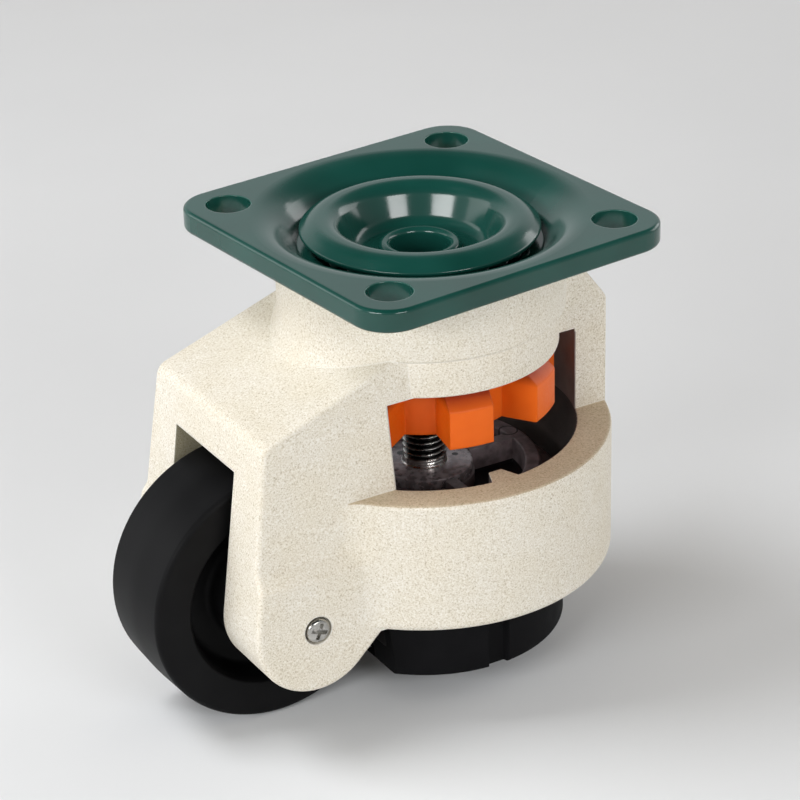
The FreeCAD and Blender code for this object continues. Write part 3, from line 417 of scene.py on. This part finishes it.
def moulded_black(tree, tones, mottle_mm, grain_mm, grain_depth_mm, rough_range, edge_mm):
    """Black moulding: two near-black tones in patches of mottle_mm, roughness that follows them,
    and a mould grain of grain_mm by grain_depth_mm."""
    place = add_node(tree, "ShaderNodeTexCoord").outputs["Object"]
    mottle = add_node(tree, "ShaderNodeTexNoise", {
        "Vector": place, "Scale": per_mm(mottle_mm), "Detail": 4.0,
    }).outputs["Fac"]
    grain = add_node(tree, "ShaderNodeTexNoise", {
        "Vector": place, "Scale": per_mm(grain_mm), "Detail": 2.0,
    }).outputs["Fac"]
    colour = add_node(tree, "ShaderNodeValToRGB", {"Fac": mottle}, [
        (PATCH_LOW, tones[0]), (PATCH_HIGH, tones[1]),
    ]).outputs["Color"]
    rough = add_node(tree, "ShaderNodeMapRange", {
        "Value": mottle, "From Min": NOISE_LOW, "From Max": NOISE_HIGH,
        "To Min": rough_range[0], "To Max": rough_range[1],
    }).outputs["Result"]
    edge = add_node(tree, "ShaderNodeBevel", {"Radius": edge_mm * MM}, samples=6).outputs["Normal"]
    bump = add_node(tree, "ShaderNodeBump", {
        "Height": grain, "Distance": grain_depth_mm * MM, "Strength": 0.6, "Normal": edge,
    }).outputs["Normal"]
    return {
        "Base Color": colour, "Roughness": rough, "IOR": 1.53, "Specular IOR Level": 0.08,
        "Normal": bump,
    }


def glass_filled_polyamide(tree):
    """Glass-filled polyamide of the foot's cup, injection moulded: black and satin on the drum.
    On the top disc, above its z, painted light makes it a paler brown and violet, and an ejector
    pin left a dark ring."""
    place = add_node(tree, "ShaderNodeTexCoord").outputs["Object"]
    # The tones lie in patches about 3 mm wide.
    mottle = add_node(tree, "ShaderNodeTexNoise", {
        "Vector": place, "Scale": per_mm(3.0), "Detail": 4.0,
    }).outputs["Fac"]
    # The glass fibres are 0.01 mm thick and lie in flecks, which are drawn 0.7 mm wide to show.
    grain = add_node(tree, "ShaderNodeTexNoise", {
        "Vector": place, "Scale": per_mm(0.7), "Detail": 2.0,
    }).outputs["Fac"]
    height = add_node(tree, "ShaderNodeSeparateXYZ", {"Vector": place}).outputs["Z"]
    on_disc = add_node(tree, "ShaderNodeMath", {
        0: height, 1: CUP_DISC_BOTTOM * MM,
    }, operation="GREATER_THAN").outputs["Value"]
    drum = add_node(tree, "ShaderNodeValToRGB", {"Fac": mottle}, [
        (PATCH_LOW, "#131112"), (PATCH_HIGH, "#1c191a"),
    ]).outputs["Color"]
    # Painted light: the top disc is paler brown and violet than the drum.
    disc = add_node(tree, "ShaderNodeValToRGB", {"Fac": mottle}, [
        (PATCH_LOW, "#5f5456"), (PATCH_HIGH, "#84777a"),
    ]).outputs["Color"]
    ring_x, ring_y, ring_radius = EJECTOR_RING
    ring = add_node(tree, "ShaderNodeMath", {
        0: from_line(tree, place, ring_x, ring_y), 1: ring_radius * MM, 2: EJECTOR_HALF_LINE * MM,
    }, operation="COMPARE").outputs["Value"]
    disc = add_node(tree, "ShaderNodeMix", {
        "Factor": ring, 6: disc, 7: linear("#241e1f"),
    }, data_type="RGBA").outputs[2]
    colour = add_node(tree, "ShaderNodeMix", {
        "Factor": on_disc, 6: drum, 7: disc,
    }, data_type="RGBA").outputs[2]
    rough = add_node(tree, "ShaderNodeMapRange", {
        "Value": mottle, "From Min": NOISE_LOW, "From Max": NOISE_HIGH,
        "To Min": 0.34, "To Max": 0.46,
    }).outputs["Result"]
    edge = add_node(tree, "ShaderNodeBevel", {"Radius": 0.4 * MM}, samples=6).outputs["Normal"]
    bump = add_node(tree, "ShaderNodeBump", {
        "Height": grain, "Distance": 0.03 * MM, "Strength": 0.6, "Normal": edge,
    }).outputs["Normal"]
    return {
        "Base Color": colour, "Roughness": rough, "IOR": 1.53, "Specular IOR Level": 0.3,
        "Normal": bump,
    }


def plated_metal(tree, tones, mottle_mm, rough_range, edge_mm):
    """Bare or plated metal: two tones in patches of mottle_mm, and roughness that follows them."""
    place = add_node(tree, "ShaderNodeTexCoord").outputs["Object"]
    mottle = add_node(tree, "ShaderNodeTexNoise", {
        "Vector": place, "Scale": per_mm(mottle_mm), "Detail": 4.0,
    }).outputs["Fac"]
    colour = add_node(tree, "ShaderNodeValToRGB", {"Fac": mottle}, [
        (PATCH_LOW, tones[0]), (PATCH_HIGH, tones[1]),
    ]).outputs["Color"]
    rough = add_node(tree, "ShaderNodeMapRange", {
        "Value": mottle, "From Min": NOISE_LOW, "From Max": NOISE_HIGH,
        "To Min": rough_range[0], "To Max": rough_range[1],
    }).outputs["Result"]
    edge = add_node(tree, "ShaderNodeBevel", {"Radius": edge_mm * MM}, samples=6).outputs["Normal"]
    bump = add_node(tree, "ShaderNodeBump", {
        "Height": mottle, "Distance": 0.01 * MM, "Strength": 0.3, "Normal": edge,
    }).outputs["Normal"]
    return {"Base Color": colour, "Metallic": 1.0, "Roughness": rough, "Normal": bump}


def oiled_black_oxide(tree):
    """Hot black oxide on a cut thread, oiled, with painted highlights on the crests, painted shade
    in the roots, and a painted grey-violet sheen on the flange, with pits. The distance from the
    axis
    sets the tone: dark up to the roots, steel at the crests, and the sheen past them."""
    place = add_node(tree, "ShaderNodeTexCoord").outputs["Object"]
    # The oil dried in blotches about 2.5 mm wide.
    mottle = add_node(tree, "ShaderNodeTexNoise", {
        "Vector": place, "Scale": per_mm(2.5), "Detail": 4.0,
    }).outputs["Fac"]
    reach = from_line(tree, place, 0.0, 0.0)
    # Painted light: near black up to the roots as shade, and near white at the crests as
    # highlight.
    crest = add_node(tree, "ShaderNodeMapRange", {
        "Value": reach, "From Min": (SCREW_RADIUS - 1.0) * MM, "From Max": SCREW_RADIUS * MM,
    }).outputs["Result"]
    thread = add_node(tree, "ShaderNodeValToRGB", {"Fac": crest}, [
        (0.1, "#2b2a29"), (0.6, "#8d8a86"), (0.95, "#e6e3de"),
    ]).outputs["Color"]
    # Painted sheen: the flange is pale grey-violet.
    flange_painted_sheen = add_node(tree, "ShaderNodeValToRGB", {"Fac": mottle}, [
        (PATCH_LOW, "#7d7375"), (0.5, "#9a8f92"), (PATCH_HIGH, "#bdb3b6"),
    ]).outputs["Color"]
    on_flange = add_node(tree, "ShaderNodeMath", {
        0: reach, 1: (SCREW_RADIUS + 0.3) * MM,
    }, operation="GREATER_THAN").outputs["Value"]
    colour = add_node(tree, "ShaderNodeMix", {
        "Factor": on_flange, 6: thread, 7: flange_painted_sheen,
    }, data_type="RGBA").outputs[2]
    for x, y, radius in FLANGE_PITS:
        pit = add_node(tree, "ShaderNodeMath", {
            0: from_line(tree, place, x, y), 1: radius * MM,
        }, operation="LESS_THAN").outputs["Value"]
        colour = add_node(tree, "ShaderNodeMix", {
            "Factor": pit, 6: colour, 7: linear("#1d1a1a"),
        }, data_type="RGBA").outputs[2]
    # On the flange the shader is half metal.
    metallic = add_node(tree, "ShaderNodeMapRange", {
        "Value": on_flange, "To Min": 1.0, "To Max": 0.5,
    }).outputs["Result"]
    rough = add_node(tree, "ShaderNodeMapRange", {
        "Value": mottle, "From Min": NOISE_LOW, "From Max": NOISE_HIGH,
        "To Min": 0.2, "To Max": 0.36,
    }).outputs["Result"]
    edge = add_node(tree, "ShaderNodeBevel", {"Radius": 0.3 * MM}, samples=6).outputs["Normal"]
    bump = add_node(tree, "ShaderNodeBump", {
        "Height": mottle, "Distance": 0.02 * MM, "Strength": 0.4, "Normal": edge,
    }).outputs["Normal"]
    return {"Base Color": colour, "Metallic": metallic, "Roughness": rough, "Normal": bump}


# Moulded nitrile rubber: duller and more even than the plastics. Its mould grain is about
# 0.2 mm, and is drawn 0.6 mm wide to show.
SHOE_RUBBER = new_material("nitrile_rubber", lambda tree: moulded_black(
    tree, tones=("#0b0b0d", "#101012"), mottle_mm=6.0, grain_mm=0.6, grain_depth_mm=0.04,
    rough_range=(0.58, 0.7), edge_mm=0.5))
# Moulded nylon: smooth satin that mirrors the light as a broad soft streak. The polished mould
# leaves only shallow ripples 0.9 mm wide.
WHEEL_NYLON = new_material("moulded_nylon", lambda tree: moulded_black(
    tree, tones=("#0e0e0f", "#131314"), mottle_mm=14.0, grain_mm=0.9, grain_depth_mm=0.008,
    rough_range=(0.46, 0.52), edge_mm=0.4))
# Hot black oxide on spring steel: near black, with a low sheen and oil in spots 2 mm wide.
BLACK_OXIDE = new_material("black_oxide_steel", lambda tree: plated_metal(
    tree, tones=("#2b2a29", "#3d3b39"), mottle_mm=2.0, rough_range=(0.22, 0.34), edge_mm=0.15))
# Bright zinc plate on turned and pressed steel: pale, with a soft shine in clouds of 4 mm.
ZINC = new_material("zinc_plated_steel", lambda tree: plated_metal(
    tree, tones=("#a5a39e", "#c6c4bf"), mottle_mm=4.0, rough_range=(0.22, 0.34), edge_mm=0.15))
# Ground bearing steel under a film of grease, which takes the sparkle off it in clouds of 6 mm.
BEARING_STEEL = new_material("ground_bearing_steel", lambda tree: plated_metal(
    tree, tones=("#6f6f70", "#8b8b8c"), mottle_mm=6.0, rough_range=(0.16, 0.26), edge_mm=0.1))
# Turned sintered bronze of the thrust washer: brown gold, grainy and rather matt. Its pores are
# about 0.1 mm wide, and are drawn 1 mm wide to show.
BRONZE = new_material("sintered_bronze", lambda tree: plated_metal(
    tree, tones=("#a2773a", "#bd8d4b"), mottle_mm=1.0, rough_range=(0.34, 0.45), edge_mm=0.1))
THREAD_BLACK = new_material("oiled_black_oxide", oiled_black_oxide)

FINISHES = {
    "plate_paint": new_material("green_stove_enamel", green_stove_enamel),
    "casting_paint": new_material("sand_powder_coat", sand_powder_coat),
    "bright_steel": ZINC,
    "ball_steel": BEARING_STEEL,
    "bearing_bronze": BRONZE,
    "dark_steel": BLACK_OXIDE,
    "orange_plastic": new_material("orange_polyamide", orange_polyamide),
    "foot_plastic": new_material("glass_filled_polyamide", glass_filled_polyamide),
    "foot_rubber": SHOE_RUBBER,
    "wheel_nylon": WHEEL_NYLON,
}


# Pieces

def threaded_screw():
    """M12 screw with its flange. The radius at angle a and height z is the screw's less the
    groove's depth at the phase z / pitch - a / turn, which gives a right-hand thread: none on a
    flat crest of an eighth of the pitch, growing along flanks of about 60 degrees, full on a root
    of a quarter. Above the flange the groove runs out over one pitch, and both ends taper by 45
    degrees."""
    columns = 72
    rows_per_turn = 14
    thread_clearance = 0.03
    top_taper = 1.5
    end_taper = 1.0
    thread_end = SCREW_FLANGE_TOP + 1.2
    a = np.linspace(0.0, 2.0 * math.pi, columns, endpoint=False)
    turns = (SCREW_TOP - thread_end) / SCREW_PITCH
    z = np.linspace(SCREW_TOP, thread_end, int(turns * rows_per_turn))
    phase = np.mod(z[:, None] / SCREW_PITCH - a[None, :] / (2.0 * math.pi), 1.0)
    from_crest = np.minimum(phase, 1.0 - phase)
    groove = np.clip((from_crest - THREAD_HALF_CREST) / THREAD_FLANK, 0.0, 1.0)
    run_out = np.clip((z - thread_end) / SCREW_PITCH, 0.0, 1.0)[:, None]
    r = SCREW_RADIUS - thread_clearance - THREAD_DEPTH * SCREW_PITCH * groove * run_out
    r = np.minimum(r, SCREW_RADIUS - top_taper + (SCREW_TOP - z)[:, None])
    neck = SCREW_RADIUS - 0.2
    rim = SCREW_FLANGE_RADIUS
    # Radius and height of each row below the thread: the neck and its fillet, the flange with its
    # rounded upper and cut lower edge, and the plain end in the cup.
    lower = np.array([
        (neck, thread_end - 0.2), (neck, SCREW_FLANGE_TOP + 0.4), (neck + 0.4, SCREW_FLANGE_TOP),
        (rim - 0.4, SCREW_FLANGE_TOP), (rim - 0.1, SCREW_FLANGE_TOP - 0.12),
        (rim, SCREW_FLANGE_TOP - 0.4), (rim, SCREW_FLANGE_BOTTOM + 0.3),
        (rim - 0.3, SCREW_FLANGE_BOTTOM), (SCREW_RADIUS, SCREW_FLANGE_BOTTOM),
        (SCREW_RADIUS, SCREW_END + end_taper), (SCREW_RADIUS - end_taper, SCREW_END),
    ])
    radius = np.vstack([r, np.repeat(lower[:, :1], columns, axis=1)])
    height = np.concatenate([z, lower[:, 1]])[:, None]
    points = np.stack([
        radius * np.cos(a), radius * np.sin(a), np.broadcast_to(height, radius.shape),
    ], axis=-1)
    return grid_mesh("levelling_screw_thread", points)


add_piece("screw_with_thread", threaded_screw(), THREAD_BLACK, "foot",
          ["levelling_screw"])
# Every other piece is the CAD's own node, in the finish of its slot.
slot_of = {row["node"]: row["material_slot"] for row in frame["record"]["subparts"]}
for node_name, node in frame["nodes"].items():
    finish = FINISHES[slot_of[node_name]]
    if not node.material_slots:
        node.data.materials.append(finish)
    for material_slot in node.material_slots:
        material_slot.link = "OBJECT"
        material_slot.material = finish


# Camera, floor and light

def photo_camera():
    """Camera of the photo. Its axes are back = (sin az cos el, -cos az cos el, sin el),
    right = (cos az, sin az, 0) and up = back x right, and then right and up turn by the roll. The
    part's origin shows at ORIGIN_PIXEL, CAMERA_DISTANCE in front of the lens."""
    az, el, roll = (math.radians(x) for x in (CAMERA_AZIMUTH, CAMERA_ELEVATION, CAMERA_ROLL))
    back = np.array([math.sin(az) * math.cos(el), -math.cos(az) * math.cos(el), math.sin(el)])
    level = np.array([math.cos(az), math.sin(az), 0.0])
    upward = np.cross(back, level)
    right = math.cos(roll) * level + math.sin(roll) * upward
    up = -math.sin(roll) * level + math.cos(roll) * upward
    across = (ORIGIN_PIXEL[0] - PHOTO_SIDE / 2.0) * CAMERA_DISTANCE / FOCAL_PIXELS
    above = -(ORIGIN_PIXEL[1] - PHOTO_SIDE / 2.0) * CAMERA_DISTANCE / FOCAL_PIXELS
    place = -across * right - above * up + CAMERA_DISTANCE * back
    data = bpy.data.cameras.new("photo_camera")
    data.sensor_width = 36.0
    data.lens = FOCAL_PIXELS / PHOTO_SIDE * data.sensor_width
    data.clip_start = 0.01
    data.clip_end = 50.0
    camera = bpy.data.objects.new("photo_camera", data)
    turn = Matrix(np.column_stack([right, up, back]).tolist()).to_4x4()
    camera.matrix_world = Matrix.Translation(Vector(place.tolist())) @ turn
    bpy.context.scene.collection.objects.link(camera)
    bpy.context.scene.camera = camera


def studio_paper(tree):
    """Matt pale grey paper, pressed from pulp with a faint cloud in it. Past the reach of the
    lamps it glows for the camera alone, more with the distance from the castor, so it stays
    pale."""
    place = add_node(tree, "ShaderNodeTexCoord").outputs["Object"]
    # The clouds are about a sixth of a metre wide.
    pulp = add_node(tree, "ShaderNodeTexNoise", {
        "Vector": place, "Scale": 6.0, "Detail": 3.0,
    }).outputs["Fac"]
    colour = add_node(tree, "ShaderNodeValToRGB", {"Fac": pulp}, [
        (NOISE_LOW, "#e1e4e7"), (NOISE_HIGH, "#e5e8eb"),
    ]).outputs["Color"]
    far = add_node(tree, "ShaderNodeMapRange", {
        "Value": from_line(tree, place, 0.0, 0.0), "From Min": 0.8, "From Max": 2.2, "To Max": 0.6,
    }).outputs["Result"]
    by_camera = add_node(tree, "ShaderNodeLightPath").outputs["Is Camera Ray"]
    glow = add_node(tree, "ShaderNodeMath", {
        0: far, 1: by_camera,
    }, operation="MULTIPLY").outputs["Value"]
    return {
        "Base Color": colour, "Roughness": 0.9, "Specular IOR Level": 0.2,
        "Emission Color": linear("#f4f6f8"), "Emission Strength": glow,
    }


def studio_floor():
    """Plain pale square floor under the wheel."""
    s = FLOOR_HALF_SIDE
    mesh = bpy.data.meshes.new("studio_floor")
    mesh.from_pydata(
        [(-s, -s, FLOOR_Z), (s, -s, FLOOR_Z), (s, s, FLOOR_Z), (-s, s, FLOOR_Z)],
        [], [(0, 1, 2, 3)])
    mesh.materials.append(new_material("studio_paper", studio_paper))
    floor = bpy.data.objects.new("studio_floor", mesh)
    bpy.context.scene.collection.objects.link(floor)


def soft_box(name, place, width, height, watts, aim=CASTOR_MIDDLE, in_mirrors=True):
    """White rectangular lamp at place that faces aim. One that isn't in_mirrors lights the object
    but doesn't show in its gloss."""
    data = bpy.data.lights.new(name, "AREA")
    data.shape = "RECTANGLE"
    data.size = width
    data.size_y = height
    data.energy = watts
    lamp = bpy.data.objects.new(name, data)
    lamp.location = place
    lamp.visible_glossy = in_mirrors
    lamp.rotation_euler = (Vector(aim) - Vector(place)).to_track_quat("-Z", "Y").to_euler()
    bpy.context.scene.collection.objects.link(lamp)


def studio_world():
    """Surroundings. Camera, mirror and clear rays see a pale horizon under a darker ceiling, and
    the camera's side is greyer: the colour follows the z of the ray's direction and the strength
    follows its y. What lights the object is an even, warm and dimmer glow."""
    world = bpy.data.worlds.new("studio")
    bpy.context.scene.world = world
    world.use_nodes = True
    tree = world.node_tree
    tree.nodes.clear()
    ray = add_node(tree, "ShaderNodeLightPath").outputs
    direction = add_node(tree, "ShaderNodeTexCoord").outputs["Generated"]
    way = add_node(tree, "ShaderNodeSeparateXYZ", {"Vector": direction}).outputs
    shade = add_node(tree, "ShaderNodeValToRGB", {"Fac": way["Z"]}, [
        (0.0, "#e2e5e7"), (0.43, "#dfe3e6"), (0.62, "#727b7f"), (0.9, "#30383b"),
    ]).outputs["Color"]
    strength = add_node(tree, "ShaderNodeMapRange", {
        "Value": way["Y"], "From Min": -0.7, "From Max": 0.3, "To Min": 0.5, "To Max": 1.0,
    }).outputs["Result"]
    seen = add_node(tree, "ShaderNodeBackground", {"Color": shade, "Strength": strength})
    light = add_node(tree, "ShaderNodeBackground", {"Color": linear("#fff3e6"), "Strength": 0.25})
    camera_or_mirror = add_node(tree, "ShaderNodeMath", {
        0: ray["Is Camera Ray"], 1: ray["Is Glossy Ray"],
    }, operation="MAXIMUM").outputs["Value"]
    any_seeing = add_node(tree, "ShaderNodeMath", {
        0: camera_or_mirror, 1: ray["Is Transmission Ray"],
    }, operation="MAXIMUM").outputs["Value"]
    mix = add_node(tree, "ShaderNodeMixShader", {
        0: any_seeing, 1: light.outputs["Background"], 2: seen.outputs["Background"],
    })
    add_node(tree, "ShaderNodeOutputWorld", {"Surface": mix.outputs["Shader"]})


photo_camera()
studio_floor()
studio_world()
# The first two show as the two highlights in the plate's bowl.
soft_box("key_from_left", (-1.27, -0.55, 0.52), width=0.8, height=0.3, watts=9.4)
soft_box("fill_from_front", (0.08, -1.40, 0.56), width=0.7, height=0.3, watts=7.0)
soft_box("ceiling", (-0.65, 0.38, 1.1), width=0.6, height=0.6, watts=10.0, aim=(0.0, 0.0, 0.0),
         in_mirrors=False)
soft_box("back_left", (-1.3, 1.0, 0.4), width=1.2, height=0.8, watts=4.5)
soft_box("side_right", (1.45, 0.0, 0.4), width=1.1, height=0.7, watts=5.5)

bpy.context.scene.view_settings.view_transform = "Standard"
bpy.context.view_layer.update()
